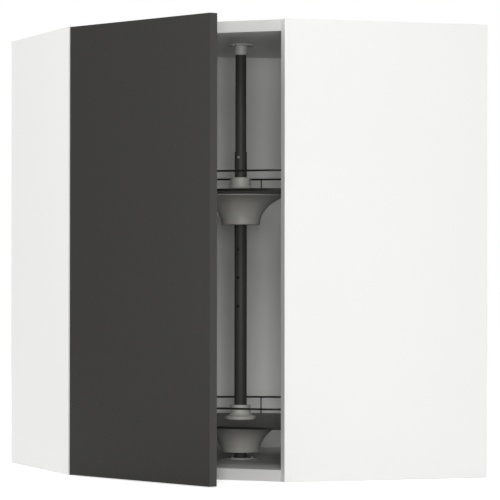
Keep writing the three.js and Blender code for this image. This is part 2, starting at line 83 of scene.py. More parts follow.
# %% [markdown]
# ## Background and floor
# The cabinet stands on an endless pale floor in a white studio. A big curved backdrop would do too,
# but a world that camera and reflections see as plain white has no edges and casts no shade. The
# rays that carry light see it a little dimmer, so that the lamps can model the faces.

# %% White where it is seen
SKY_LIGHT = 0.34
FLOOR_RADIUS = 60.0
FLOOR_DROP = 0.0005

scene = bpy.context.scene
scene.view_settings.view_transform = "Standard"


def where_seen(tree, hidden, seen, output):
    """One shader for camera, mirror and glass rays, and another for the rays that carry light."""
    rays = tree.nodes.new("ShaderNodeLightPath")
    share = rays.outputs["Is Camera Ray"]
    for ray in ("Is Glossy Ray", "Is Transmission Ray"):
        either = tree.nodes.new("ShaderNodeMath")
        either.operation = "MAXIMUM"
        tree.links.new(share, either.inputs[0])
        tree.links.new(rays.outputs[ray], either.inputs[1])
        share = either.outputs[0]
    chosen = tree.nodes.new("ShaderNodeMixShader")
    tree.links.new(share, chosen.inputs["Fac"])
    tree.links.new(hidden.outputs[0], chosen.inputs[1])
    tree.links.new(seen.outputs[0], chosen.inputs[2])
    tree.links.new(chosen.outputs[0], output.inputs["Surface"])


def plain_shader(tree, kind, color, strength=None):
    shader = tree.nodes.new(kind)
    shader.inputs["Color"].default_value = (*color, 1)
    if strength is not None:
        shader.inputs["Strength"].default_value = strength
    return shader


world = bpy.data.worlds.new("studio")
world.use_nodes = True
scene.world = world
tree = world.node_tree
where_seen(tree, plain_shader(tree, "ShaderNodeBackground", (1, 1, 0.995), SKY_LIGHT),
           plain_shader(tree, "ShaderNodeBackground", (1, 1, 1), 1), tree.nodes["World Output"])

floor_mesh = bmesh.new()
bmesh.ops.create_circle(floor_mesh, cap_ends=True, segments=96, radius=FLOOR_RADIUS)
bmesh.ops.translate(floor_mesh, verts=floor_mesh.verts, vec=(0, 0, -FLOOR_DROP))
floor = bpy.data.objects.new("floor", bpy.data.meshes.new("floor"))
floor_mesh.to_mesh(floor.data)
floor_mesh.free()
scene.collection.objects.link(floor)

floor_finish = bpy.data.materials.new("studio_floor")
floor_finish.use_nodes = True
tree = floor_finish.node_tree
white_floor = tree.nodes.new("ShaderNodeAddShader")
lit = plain_shader(tree, "ShaderNodeBsdfDiffuse", (1, 1, 1))
filled = plain_shader(tree, "ShaderNodeEmission", (1, 1, 1), 1 - SKY_LIGHT)
tree.links.new(lit.outputs[0], white_floor.inputs[0])
tree.links.new(filled.outputs[0], white_floor.inputs[1])
where_seen(tree, plain_shader(tree, "ShaderNodeBsdfDiffuse", (0.80, 0.80, 0.79)),
           white_floor,
           tree.nodes["Material Output"])
floor.data.materials.append(floor_finish)
print("sky light", SKY_LIGHT)

# %% [markdown]
# ## Lamps
# Six soft boxes model the faces. Only light from the camera's side gets through the narrow opening
# and reaches the back of the cabinet, so three stand there: a high one for the trays and the cabinet's
# floor, one beside the camera for the back, and one on the studio floor for the cabinet's ceiling.
# The fourth stands before the door, which mirrors its edge as a faint gradient, and the last two light
# the back and the top, which the photograph doesn't show. Spot lamps would throw hard shadows.

# %% Soft boxes
def soft_box(name, place, target, width, height, radiance):
    """A square lamp of an even brightness, where 1 is as bright as white paper in full light."""
    lamp = bpy.data.lights.new(name, "AREA")
    lamp.shape = "RECTANGLE"
    lamp.size = width
    lamp.size_y = height
    lamp.energy = radiance * math.pi * width * height
    holder = bpy.data.objects.new(name, lamp)
    scene.collection.objects.link(holder)
    holder.location = place
    holder.visible_camera = False
    holder.rotation_mode = "QUATERNION"
    holder.rotation_quaternion = (target - place).to_track_quat("-Z", "Y")
    print(name, "shines", round(lamp.energy), "W")


MIDDLE = Vector((0, 0, 0.4))
soft_box("beside_the_camera", Vector((6.12, -2.18, 0.55)), MIDDLE, 1.2, 1.0, 27.0)
soft_box("above_the_camera", Vector((5.24, -1.87, 2.65)), MIDDLE, 1.0, 2.2, 13.0)
soft_box("on_the_floor", Vector((2.07, -0.74, 0.02)), MIDDLE, 0.5, 0.5, 10.0)
soft_box("before_the_door", Vector((0.02, -3.06, 1.3)), Vector((0.2, -0.3, 1.3)), 2.8, 2.6, 1.5)
soft_box("behind_the_corner", Vector((-2.6, 2.6, 1.9)), MIDDLE, 3.0, 3.0, 2.3)
soft_box("overhead", Vector((0, 0, 3.4)), MIDDLE, 1.2, 1.2, 2.5)

# %% [markdown]
# ## Finishes
# Every finish is built from noise on Object coordinates, so a pattern keeps its real size and sits
# still on its piece. Image textures would need unwrapping. One helper makes the shader and another
# adds a fine relief, because nearly all of these surfaces are smooth to the eye and grained close up.

# %% Helpers for finishes
def new_finish(name, color, roughness, metallic=0.0):
    """A material with its own shader; returns the material, its nodes and the Object coordinates."""
    material = bpy.data.materials.new(name)
    material.use_nodes = True
    tree = material.node_tree
    shader = tree.nodes["Principled BSDF"]
    shader.inputs["Base Color"].default_value = (*color, 1)
    shader.inputs["Roughness"].default_value = roughness
    shader.inputs["Metallic"].default_value = metallic
    coordinates = tree.nodes.new("ShaderNodeTexCoord").outputs["Object"]
    return material, tree, shader, coordinates


def add_noise(tree, coordinates, grains_per_metre, detail=2.0, stretch=(1, 1, 1)):
    """Noise with a grain of a real size, longer along the axes whose stretch is small."""
    mapping = tree.nodes.new("ShaderNodeMapping")
    mapping.inputs["Scale"].default_value = stretch
    noise = tree.nodes.new("ShaderNodeTexNoise")
    noise.inputs["Scale"].default_value = grains_per_metre
    noise.inputs["Detail"].default_value = detail
    tree.links.new(coordinates, mapping.inputs["Vector"])
    tree.links.new(mapping.outputs["Vector"], noise.inputs["Vector"])
    return noise.outputs["Fac"]


def add_relief(tree, shader, height, depth, strength=1.0):
    """Lets a texture raise the surface by a depth in metres."""
    bump = tree.nodes.new("ShaderNodeBump")
    bump.inputs["Strength"].default_value = strength
    bump.inputs["Distance"].default_value = depth
    tree.links.new(height, bump.inputs["Height"])
    tree.links.new(bump.outputs["Normal"], shader.inputs["Normal"])


def add_shades(tree, value, socket, low, high):
    """Lets a texture move a colour or a number between two shades."""
    if isinstance(low, tuple):
        mix = tree.nodes.new("ShaderNodeMix")
        mix.data_type = "RGBA"
        mix.inputs[6].default_value = (*low, 1)
        mix.inputs[7].default_value = (*high, 1)
        tree.links.new(value, mix.inputs["Factor"])
        tree.links.new(mix.outputs[2], socket)
        return
    spread = tree.nodes.new("ShaderNodeMapRange")
    spread.inputs["To Min"].default_value = low
    spread.inputs["To Max"].default_value = high
    tree.links.new(value, spread.inputs["Value"])
    tree.links.new(spread.outputs["Result"], socket)


# %% White foil
FOIL_SHINE = 0.45


def white_foil(name, color, roughness, pearl):
    """Melamine foil: a pearl of fine bumps and a faint unevenness of the white."""
    material, tree, shader, place = new_finish(name, color, roughness)
    shader.inputs["Specular IOR Level"].default_value = FOIL_SHINE
    clouds = add_noise(tree, place, 5.0, 3.0)
    darker = tuple(0.985 * channel for channel in color)
    add_shades(tree, clouds, shader.inputs["Base Color"], darker, color)
    add_shades(tree, add_noise(tree, place, 60.0), shader.inputs["Roughness"],
               roughness - 0.04, roughness + 0.05)
    add_relief(tree, shader, add_noise(tree, place, 1400.0, 1.0), pearl, 0.4)
    return material


board_foil = white_foil("white_foil", (0.86, 0.86, 0.852), 0.48, 0.00003)
# Two copies of one edge strip with painted light: the first is painted much darker than the board as
# painted shade on the lying boards' front edges, the second lighter as painted light on the standing
# boards' front edges, which the open door shades.
shaded_edge_foil = white_foil("edge_strip_painted_shade", (0.60, 0.598, 0.587), 0.38, 0.00001)
lit_side_edge_foil = white_foil("side_edge_strip_painted_light", (0.82, 0.818, 0.805), 0.38, 0.00001)
hardboard_lacquer = white_foil("hardboard_lacquer", (0.86, 0.86, 0.845), 0.55, 0.00005)
print(board_foil.name, shaded_edge_foil.name, lit_side_edge_foil.name, hardboard_lacquer.name)


# %% Dark foils
DULL_SHINE = 0.10


def dark_foil(name, color, roughness, grain):
    """Anthracite foil with a fine leathery grain that breaks up its sheen."""
    material, tree, shader, place = new_finish(name, color, roughness)
    shader.inputs["Specular IOR Level"].default_value = DULL_SHINE
    clouds = add_noise(tree, place, 9.0, 4.0)
    lighter = tuple(1.08 * channel for channel in color)
    add_shades(tree, clouds, shader.inputs["Base Color"], color, lighter)
    add_shades(tree, add_noise(tree, place, 240.0, 3.0), shader.inputs["Roughness"],
               roughness - 0.05, roughness + 0.06)
    cells = tree.nodes.new("ShaderNodeTexVoronoi")
    cells.feature = "SMOOTH_F1"
    cells.inputs["Scale"].default_value = grain
    tree.links.new(place, cells.inputs["Vector"])
    add_relief(tree, shader, cells.outputs["Distance"], 0.00003, 0.5)
    return material


door_foil = dark_foil("anthracite_foil", (0.0205, 0.0198, 0.0183), 0.25, 1100.0)
# The door's edge finish is painted almost three times lighter than its face, a painted highlight for
# the light that its narrow faces catch.
lit_door_edge = dark_foil("anthracite_edge_painted_light", (0.056, 0.055, 0.052), 0.35, 1300.0)
tray_laminate = dark_foil("tray_laminate", (0.072, 0.070, 0.062), 0.42, 900.0)
tray_edge = dark_foil("tray_edge", (0.012, 0.012, 0.011), 0.40, 1300.0)
print(door_foil.name, lit_door_edge.name, tray_laminate.name, tray_edge.name)


# %% Plastics
def moulded_plastic(name, color, roughness):
    """Plastic from a spark-eroded mould: an even, very fine texture."""
    material, tree, shader, place = new_finish(name, color, roughness)
    clouds = add_noise(tree, place, 14.0, 3.0)
    darker = tuple(0.95 * channel for channel in color)
    add_shades(tree, clouds, shader.inputs["Base Color"], darker, color)
    add_relief(tree, shader, add_noise(tree, place, 2600.0, 2.0), 0.00004, 0.5)
    return material


grey_plastic = moulded_plastic("grey_plastic", (0.46, 0.455, 0.43), 0.5)
white_plastic = moulded_plastic("white_plastic", (0.80, 0.80, 0.785), 0.42)
print(grey_plastic.name, white_plastic.name)

# %% Lacquered and plated steel
LACQUER_SHINE = 0.25


def lacquered_steel(name, color, roughness):
    """Powder lacquer on steel, with the faint orange peel that baking leaves."""
    material, tree, shader, place = new_finish(name, color, roughness)
    shader.inputs["Specular IOR Level"].default_value = LACQUER_SHINE
    add_shades(tree, add_noise(tree, place, 120.0), shader.inputs["Roughness"],
               roughness - 0.04, roughness + 0.06)
    add_relief(tree, shader, add_noise(tree, place, 700.0, 1.0), 0.00002, 0.3)
    return material


def plated_steel(name, color, roughness):
    """Zinc on steel: crystals of uneven brightness and fine drawing marks."""
    material, tree, shader, place = new_finish(name, color, roughness, 1.0)
    lighter = tuple(1.2 * channel for channel in color)
    add_shades(tree, add_noise(tree, place, 90.0, 4.0), shader.inputs["Base Color"],
               color, lighter)
    add_shades(tree, add_noise(tree, place, 500.0, 3.0, (1, 1, 0.04)),
               shader.inputs["Roughness"], roughness - 0.08, roughness + 0.1)
    return material


pole_lacquer = lacquered_steel("pole_lacquer", (0.042, 0.0415, 0.038), 0.55)
wire_lacquer = lacquered_steel("wire_lacquer", (0.010, 0.010, 0.009), 0.45)
zinc = plated_steel("zinc_plate", (0.55, 0.55, 0.535), 0.34)
screw_zinc = plated_steel("screw_zinc", (0.30, 0.30, 0.29), 0.42)
print(pole_lacquer.name, wire_lacquer.name, zinc.name, screw_zinc.name)

# %% Clear rubber
clear_rubber, tree, shader, place = new_finish("clear_rubber", (0.86, 0.87, 0.86), 0.3)
shader.inputs["Transmission Weight"].default_value = 0.7
shader.inputs["IOR"].default_value = 1.45
add_relief(tree, shader, add_noise(tree, place, 900.0, 1.0), 0.00002, 0.3)
print(clear_rubber.name)

# %% A finish for each slot
FINISHES = {
    "white_board": board_foil,
    "white_hardboard": hardboard_lacquer,
    "anthracite_front": door_foil,
    "tray_laminate": tray_laminate,
    "grey_plastic": grey_plastic,
    "white_plastic": white_plastic,
    "black_metal": pole_lacquer,
    "zinc_metal": zinc,
}

# %% [markdown]
# ## Nodes that keep their shape
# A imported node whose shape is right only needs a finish. Each node's slot in the record names it, so
# one loop dresses them all. The pieces made later hide the nodes that they stand for.

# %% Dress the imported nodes
slot_of = {row["node"]: row["material_slot"] for row in frame["record"]["subparts"]}
body_of = {node: body for body, nodes in frame["record"]["behaviour"]["bodies"].items()
           for node in nodes}
for name, node in frame["nodes"].items():
    for material_slot in node.material_slots:
        material_slot.material = FINISHES[slot_of[name]]
print(len(frame["nodes"]), "nodes dressed")

# %% [markdown]
# ## Drawing with spin
# Nearly every metal or plastic piece here is turned, bent or extruded. The spin operator does all
# three: with an angle it bends what it drags, and with a step but no angle it pulls it straight. So
# a wire or an outline is drawn as a pen would draw it, stroke by stroke, and no list of points
# has to be worked out.

# %% Helpers for shapes
MM = 0.001
UP = Vector((0, 0, 1))
ACROSS = Vector((0, 1, 0))
DIAGONAL = Matrix.Rotation(math.radians(45), 4, "Z")
SEAM_PLAY = 0.00001


def bend(bm, tip, centre, degrees, steps, axis=UP):
    """Drags the tip round a centre and returns its new end."""
    made = bmesh.ops.spin(bm, geom=tip, cent=centre, axis=axis, angle=math.radians(degrees),
                          steps=steps)
    return made["geom_last"]


def pull(bm, tip, way):
    """Drags the tip straight by a vector and returns its new end."""
    made = bmesh.ops.spin(bm, geom=tip, axis=UP, dvec=way, angle=0, steps=1)
    return made["geom_last"]


def merge(bm, distance=1e-6):
    bmesh.ops.remove_doubles(bm, verts=bm.verts, dist=distance)


def lathe(bm, steps):
    """Turns the profile that has been drawn about the upright axis, into a closed skin."""
    bmesh.ops.spin(bm, geom=bm.verts[:] + bm.edges[:], axis=UP, angle=2 * math.pi, steps=steps,
                   use_merge=True)
    merge(bm)
    bmesh.ops.recalc_face_normals(bm, faces=bm.faces)


def profile(bm, places):
    """Joins [radius, height] places with straight edges and returns the points, in order."""
    points = [bm.verts.new((radius, 0, height)) for radius, height in places]
    for one, other in zip(points, points[1:]):
        bm.edges.new((one, other))
    return points


def round_points(bm, points, radius, segments=4):
    """Rounds corners of a profile before it is turned."""
    bmesh.ops.bevel(bm, geom=points, offset=radius, offset_type="OFFSET", affect="VERTICES",
                    segments=segments, profile=0.5, material=-1, clamp_overlap=True)


def ease_edges(bm, radius, segments=2, above=30):
    """Rounds every edge where two faces meet at more than an angle."""
    sharp = [edge for edge in bm.edges
             if edge.is_manifold and edge.calc_face_angle() > math.radians(above)]
    bmesh.ops.bevel(bm, geom=sharp, offset=radius, offset_type="OFFSET", affect="EDGES",
                    segments=segments, profile=0.5, material=-1, clamp_overlap=True)


SHARP_ABOVE = 20


def add_piece(name, bm, body, slot, stands_for=(), finishes=None, place=None):
    """Makes a finished mesh a piece of the object that rides on a body."""
    if place is not None:
        bmesh.ops.transform(bm, matrix=place, verts=bm.verts)
    data = bpy.data.meshes.new(name)
    bm.to_mesh(data)
    bm.free()
    data.shade_smooth()
    data.set_sharp_from_angle(angle=math.radians(SHARP_ABOVE))
    for finish in finishes or [FINISHES[slot]]:
        data.materials.append(finish)
    made = bpy.data.objects.new(name, data)
    scene.collection.objects.link(made)
    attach(made, body)
    if stands_for:
        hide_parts(*stands_for)
    print(name, len(data.polygons), "faces")
    return made


def carved(body, tool, operation="DIFFERENCE"):
    """Cuts one bmesh with another, or keeps what they share, and returns the result."""
    holders = []
    for bm in (body, tool):
        data = bpy.data.meshes.new("carving")
        bm.to_mesh(data)
        bm.free()
        holder = bpy.data.objects.new("carving", data)
        scene.collection.objects.link(holder)
        holders.append(holder)
    cutter = holders[0].modifiers.new("carve", "BOOLEAN")
    cutter.object = holders[1]
    cutter.operation = operation
    cutter.solver = "EXACT"
    cutter.use_self = True
    graph = bpy.context.evaluated_depsgraph_get()
    result = bmesh.new()
    result.from_mesh(holders[0].evaluated_get(graph).to_mesh())
    for holder in holders:
        bpy.data.meshes.remove(holder.data)
    merge(result)
    return result


# %% [markdown]
# ## The trays
# A tray is a thin laminated board with a round back and a flat front, so that its front lies along
# the shut door. A Boolean could cut it from a disc, but drawn with two kinds of stroke its edge
# has evenly spaced points all the way round. The same strokes, taken in a little, bend the rail.
# The rim gets a darker finish than the faces, because its edge strip is black.

# %% Tray outline
board_low, board_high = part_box("lower_tray_board")
TRAY_RADIUS = -board_low.x
FRONT_STEP = 9.0 * MM
CORNER_RADIUS = 110.0 * MM
TRAY_BOARD = board_high.z - board_low.z
RIM_ROUND = 1.3 * MM
SHORTEST_RIM = 3 * MM
RIM_SLOPE = 0.8
RIM_ANGLE = 1
BACK_STEPS = 80
CORNER_STEPS = 40


def draw_tray_edge(bm, tip, inset):
    """Drags the tip round the tray's edge, from its right side round the back to its start."""
    radius = TRAY_RADIUS - inset
    front = radius - FRONT_STEP
    corner = CORNER_RADIUS - inset
    tip = bend(bm, tip, (0, 0, 0), 180, BACK_STEPS)
    tip = pull(bm, tip, (0, corner - front, 0))
    tip = bend(bm, tip, (corner - radius, corner - front, 0), 90, CORNER_STEPS)
    tip = pull(bm, tip, (2 * (radius - corner), 0, 0))
    tip = bend(bm, tip, (radius - corner, corner - front, 0), 90, CORNER_STEPS)
    pull(bm, tip, (0, front - corner, 0))
    merge(bm, SEAM_PLAY)


print("tray radius", round(TRAY_RADIUS, 4), "board", round(TRAY_BOARD, 4))

# %% Where the posts and screws stand
RAIL_RISE = 31.0 * MM
RAIL_RADIUS = 1.75 * MM
RAIL_INSET = 5.0 * MM
POST_RADIUS = 1.1 * MM
REAR_POSTS = (16.3, 49.3, 82.3)
FRONT_POST = 45.0 * MM
BRIM_SCREWS = (0, 120, 240)
SCREW_REACH = 90.0 * MM


def post_places():
    """Three pairs round the back, one on the front corners and one in front."""
    radius = TRAY_RADIUS - RAIL_INSET
    front = radius - FRONT_STEP
    share = (CORNER_RADIUS - RAIL_INSET) * (1 - math.sqrt(0.5))
    right = [Vector((radius * math.sin(math.radians(a)), radius * math.cos(math.radians(a)), 0))
             for a in REAR_POSTS]
    right += [Vector((radius - share, share - front, 0)), Vector((FRONT_POST, -front, 0))]
    return right + [Vector((-place.x, place.y, 0)) for place in right]


print(len(post_places()), "posts on each tray")

# %% Tray boards
HOLE_PLAY = 0.3 * MM
bore_low, bore_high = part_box("pole_outer_tube")
POLE_RADIUS = bore_high.x


def add_hole(bm, place, radius, segments):
    bmesh.ops.create_circle(bm, segments=segments, radius=radius,
                            matrix=Matrix.Translation(place))


def tray_board(level):
    """The board: its outline and holes filled as one face, thickened, with a rounded rim."""
    low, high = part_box(f"{level}_tray_board")
    bm = bmesh.new()
    draw_tray_edge(bm, [bm.verts.new((TRAY_RADIUS, 0, 0))], 0)
    add_hole(bm, Vector(), POLE_RADIUS + 2 * HOLE_PLAY, 64)
    for place in post_places():
        add_hole(bm, place, POST_RADIUS + HOLE_PLAY, 12)
    bmesh.ops.triangle_fill(bm, edges=bm.edges, use_beauty=True, normal=UP)
    grown = bmesh.ops.extrude_face_region(bm, geom=bm.faces[:])
    lifted = [item for item in grown["geom"] if isinstance(item, bmesh.types.BMVert)]
    bmesh.ops.translate(bm, verts=lifted, vec=UP * TRAY_BOARD)
    bmesh.ops.recalc_face_normals(bm, faces=bm.faces)
    rim = [edge for edge in bm.edges
           if edge.calc_face_angle() > RIM_ANGLE and edge.calc_length() > SHORTEST_RIM]
    bmesh.ops.bevel(bm, geom=rim, offset=RIM_ROUND, offset_type="OFFSET", affect="EDGES",
                    segments=3, profile=0.5, material=-1)
    bm.normal_update()
    for face in bm.faces:
        face.material_index = int(abs(face.normal.dot(UP)) < RIM_SLOPE)
    add_piece(f"{level}_tray", bm, f"{level}_tray", "tray_laminate", [f"{level}_tray_board"],
              [tray_laminate, tray_edge], Matrix.Translation((0, 0, low.z)) @ DIAGONAL)


for level in ("lower", "upper"):
    tray_board(level)


# %% [markdown]
# ## The wire rails
# The rail that keeps things on a tray is one bent wire, held up by ten thin posts. A curve with a
# bevel would make the wire too. A ring of points dragged along the tray's edge gives the same tube
# as a plain mesh, and the posts end in a small cone where each is welded under the wire.

# %% Rails
WELD = 2.2 * MM
WELD_RADIUS = 0.95 * RAIL_RADIUS


def tray_rail(level):
    low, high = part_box(f"{level}_tray_board")
    height = high.z + RAIL_RISE
    bm = bmesh.new()
    ring = bmesh.ops.create_circle(bm, segments=16, radius=RAIL_RADIUS,
                                   matrix=Matrix.Translation((TRAY_RADIUS - RAIL_INSET, 0, 0))
                                   @ Matrix.Rotation(math.radians(90), 4, "X"))
    draw_tray_edge(bm, ring["verts"] + bm.edges[:], RAIL_INSET)
    bmesh.ops.translate(bm, verts=bm.verts, vec=UP * height)
    for place in post_places():
        length = height - low.z
        bmesh.ops.create_cone(bm, cap_ends=True, segments=16, radius1=POST_RADIUS,
                              radius2=POST_RADIUS, depth=length,
                              matrix=Matrix.Translation(place + UP * (low.z + length / 2)))
        bmesh.ops.create_cone(bm, cap_ends=True, segments=16, radius1=POST_RADIUS,
                              radius2=WELD_RADIUS, depth=WELD,
                              matrix=Matrix.Translation(place + UP * (height - RAIL_RADIUS)))
    bmesh.ops.recalc_face_normals(bm, faces=bm.faces)
    add_piece(f"{level}_rail", bm, f"{level}_tray", "black_metal",
              [f"{level}_tray_rail_back", f"{level}_tray_rail_front"], [wire_lacquer], DIAGONAL)


for level in ("lower", "upper"):
    tray_rail(level)

# %% [markdown]
# ## Hubs
# On top of each tray a grey hub guides the pole: a round foot that sweeps up into a collar. It is
# turned, so its half section is drawn once and spun. Its corners are rounded in the flat section,
# where a bevel of points is simpler than a bevel of edges afterwards.

# %% Hubs
FOOT_HEIGHT = 6.5 * MM
FOOT_ROUND = 2.2 * MM
FOOT_UNDER_ROUND = 0.8 * MM
COLLAR_RADIUS = 18.4 * MM
COLLAR_ROUND = 1.0 * MM


def hub(level):
    low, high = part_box(f"{level}_tray_hub")
    foot = high.x
    bore = POLE_RADIUS + HOLE_PLAY
    sweep = foot - FOOT_ROUND - COLLAR_RADIUS
    bm = bmesh.new()
    corners = profile(bm, [(bore, low.z), (foot, low.z), (foot, low.z + FOOT_HEIGHT),
                           (COLLAR_RADIUS + sweep, low.z + FOOT_HEIGHT)])
    centre = (COLLAR_RADIUS + sweep, 0, low.z + FOOT_HEIGHT + sweep)
    tip = bend(bm, [corners[-1]], centre, 90, 12, ACROSS)
    tip = pull(bm, tip, UP * (high.z - low.z - FOOT_HEIGHT - sweep))
    top = tip[0]
    tip = pull(bm, tip, (bore - COLLAR_RADIUS, 0, 0))
    pull(bm, tip, UP * (low.z - high.z))
    merge(bm)
    round_points(bm, [corners[1]], FOOT_UNDER_ROUND)
    round_points(bm, [corners[2]], FOOT_ROUND * 0.95)
    round_points(bm, [top], COLLAR_ROUND)
    lathe(bm, 72)
    add_piece(f"{level}_hub", bm, f"{level}_tray", "grey_plastic", [f"{level}_tray_hub"])


for level in ("lower", "upper"):
    hub(level)

# %% [markdown]
# ## Supports
# Under each tray a grey support carries it: a drum that flares like a trumpet into a flat brim, with
# a bore for the pole and a pocket for the washer. It could be cut from a block with Booleans, but
# all of it is round, so its whole half section is one line to spin.

# %% Supports
DRUM_RADIUS = 35.0 * MM
FLARE_END = 83.3 * MM
FLARE_LEFT = 4.3 * MM
BRIM_RADIUS = 100.0 * MM
BRIM_PLATE = 3.0 * MM
POCKET_RADIUS = 19.0 * MM
EDGE_ROUND = 1.0 * MM
OVERCUT = 1.0 * MM
SCREW_HOLE = 2.3 * MM


def cylinder(bm, radius, low, top, segments, place=Vector()):
    bmesh.ops.create_cone(bm, cap_ends=True, segments=segments, radius1=radius, radius2=radius,
                          depth=top - low, matrix=Matrix.Translation(place + UP * (low + top) / 2))


def brim_screw_places():
    return [Matrix.Rotation(math.radians(degrees), 3, "Z") @ Vector((SCREW_REACH, 0, 0))
            for degrees in BRIM_SCREWS]


def draw_flare(bm, start, rise):
    """The trumpet's hollow sweep, from the drum's lower edge out to the brim."""
    unit = rise + FLARE_LEFT
    last = math.degrees(math.asin(rise / unit))
    tip = bend(bm, [start], (DRUM_RADIUS + unit, 0, start.co.z), last, 24, ACROSS)
    stretch = (FLARE_END - DRUM_RADIUS) / (tip[0].co.x - DRUM_RADIUS)
    for point in bm.verts:
        point.co.x = DRUM_RADIUS + (point.co.x - DRUM_RADIUS) * stretch
    return tip


def support(level):
    low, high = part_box(f"{level}_tray_support")
    pocket_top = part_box(f"{level}_bearing_washer")[1].z + HOLE_PLAY
    bore = POLE_RADIUS + HOLE_PLAY
    bm = bmesh.new()
    start = bm.verts.new((DRUM_RADIUS, 0, low.z))
    tip = draw_flare(bm, start, high.z - BRIM_PLATE - low.z)
    tip = pull(bm, tip, (BRIM_RADIUS - FLARE_END, 0, 0))
    brim = [tip[0]]
    tip = pull(bm, tip, (0, 0, BRIM_PLATE))
    brim += [tip[0]]
    tip = pull(bm, tip, (bore - BRIM_RADIUS, 0, 0))
    tip = pull(bm, tip, (0, 0, pocket_top - high.z))
    tip = pull(bm, tip, (POCKET_RADIUS - bore, 0, 0))
    tip = pull(bm, tip, (0, 0, low.z - pocket_top))
    bm.edges.new((tip[0], start))
    round_points(bm, [start, tip[0], *brim], EDGE_ROUND)
    lathe(bm, 120)
    holes = bmesh.new()
    for place in brim_screw_places():
        cylinder(holes, SCREW_HOLE, high.z - 2 * BRIM_PLATE, high.z + OVERCUT, 24, place)
    add_piece(f"{level}_support", carved(bm, holes), f"{level}_tray", "grey_plastic",
              [f"{level}_tray_support"], place=DIAGONAL)


for level in ("lower", "upper"):
    support(level)

# %% [markdown]
# ## Pole
# The pole is a telescope: a thinner tube slides in a wider one and a small screw locks it. The wide
# one is drilled through in a row, to set a tray's height. Tubes could be cylinders with a Solidify
# modifier, but a spun ring section gives the wall and its softened rims together.

# %% Tubes
OUTER_WALL = 1.1 * MM
INNER_WALL = 1.5 * MM
TUBE_ROUND = 0.4 * MM
PIN_HOLE = 2.8 * MM
PIN_HOLE_LEVELS = (40 * MM, 300 * MM, 352 * MM, 404 * MM, 456 * MM)
TUBE_STEPS = 96


def ring(bm, inner, outer, low, top, rounding, steps):
    """A ring or tube with rounded corners, spun from its section."""
    points = profile(bm, [(inner, low), (outer, low), (outer, top), (inner, top)])
    bm.edges.new((points[-1], points[0]))
    round_points(bm, points, rounding, 3)
    lathe(bm, steps)


def across_pole(bm, radius, reach, level, segments=24):
    """A round bar through the pole, from the door's side to the corner."""
    turn = Matrix.Translation((0, 0, level)) @ Matrix.Rotation(math.radians(90), 4, "X")
    bmesh.ops.create_cone(bm, cap_ends=True, segments=segments, radius1=radius, radius2=radius,
                          depth=reach, matrix=turn)


low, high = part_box("pole_outer_tube")
tube = bmesh.new()
ring(tube, POLE_RADIUS - OUTER_WALL, POLE_RADIUS, low.z, high.z, TUBE_ROUND, TUBE_STEPS)
drills = bmesh.new()
for level in PIN_HOLE_LEVELS:
    across_pole(drills, PIN_HOLE, 4 * POLE_RADIUS, level)
add_piece("outer_tube", carved(tube, drills), "cabinet", "black_metal", ["pole_outer_tube"],
          place=DIAGONAL)

low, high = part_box("pole_inner_tube")
INNER_RADIUS = high.x
tube = bmesh.new()
ring(tube, INNER_RADIUS - INNER_WALL, INNER_RADIUS, low.z, high.z, TUBE_ROUND, TUBE_STEPS)
add_piece("inner_tube", tube, "cabinet", "black_metal", ["pole_inner_tube"])

# %% [markdown]
# ## Flanges, pins and washers
# Moulded flanges hold the pole on the floor and the ceiling, and steel pins with slippery washers
# carry the trays. The flanges are spun with a fillet between plate and collar, as a mould needs,
# and their screw holes are the only cuts.

# %% Flanges
FLANGE_SCREWS = (60, 180, 300)
FLANGE_SCREW_INSET = 7.0 * MM
FILLET = 1.2 * MM


def flange(name, inner, neck, neck_level, plate_levels):
    """A round plate with a neck; the levels run from the neck's end to the plate's outer face."""
    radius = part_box(name)[1].x
    near, far = plate_levels
    bm = bmesh.new()
    points = profile(bm, [(inner, neck_level), (neck, neck_level), (neck, near), (radius, near),
                          (radius, far), (inner, far)])
    bm.edges.new((points[-1], points[0]))
    round_points(bm, points[:4], FILLET / 2, 4)
    lathe(bm, TUBE_STEPS)
    holes = bmesh.new()
    for degrees in FLANGE_SCREWS:
        place = Matrix.Rotation(math.radians(degrees), 3, "Z") @ Vector(
            (radius - FLANGE_SCREW_INSET, 0, 0))
        cylinder(holes, SCREW_HOLE, min(near, far) - OVERCUT, max(near, far) + OVERCUT, 24, place)
    add_piece(name.replace("_flange", "_mount"), carved(bm, holes), "cabinet", "grey_plastic",
              [name])


FLANGE_PLATE = 2.5 * MM
FLOOR_BORE = 4.0 * MM
CEILING_COLLAR = 11.9 * MM
low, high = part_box("floor_flange")
flange("floor_flange", FLOOR_BORE, INNER_RADIUS, high.z, (low.z + FLANGE_PLATE, low.z))
low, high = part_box("ceiling_flange")
flange("ceiling_flange", INNER_RADIUS + HOLE_PLAY, CEILING_COLLAR, low.z,
       (high.z - FLANGE_PLATE, high.z))

# %% Pins and washers
PIN_RADIUS = 2.5 * MM
PIN_LENGTH = 33.0 * MM
PIN_ROUND = 0.5 * MM
WASHER_RADIUS = 17.0 * MM
WASHER_ROUND = 0.6 * MM

for level in ("lower", "upper"):
    low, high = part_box(f"{level}_pin")
    pin = bmesh.new()
    across_pole(pin, PIN_RADIUS, PIN_LENGTH, (low.z + high.z) / 2, 32)
    ease_edges(pin, PIN_ROUND)
    add_piece(f"{level}_tray_pin", pin, "cabinet", "zinc_metal", [f"{level}_pin"],
              place=DIAGONAL)
    low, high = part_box(f"{level}_bearing_washer")
    washer = bmesh.new()
    ring(washer, POLE_RADIUS + HOLE_PLAY, WASHER_RADIUS, low.z, high.z, WASHER_ROUND,
         TUBE_STEPS)
    add_piece(f"{level}_washer", washer, "cabinet", "grey_plastic", [f"{level}_bearing_washer"])

# %% [markdown]
# ## Screws
# Pan-head screws with a cross recess hold the flanges, trays and hinges. Each kind is modelled once,
# head up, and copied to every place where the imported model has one. A Boolean cuts the recess, since
# its slanting walls meet the domed head in a curve that nobody wants to draw.

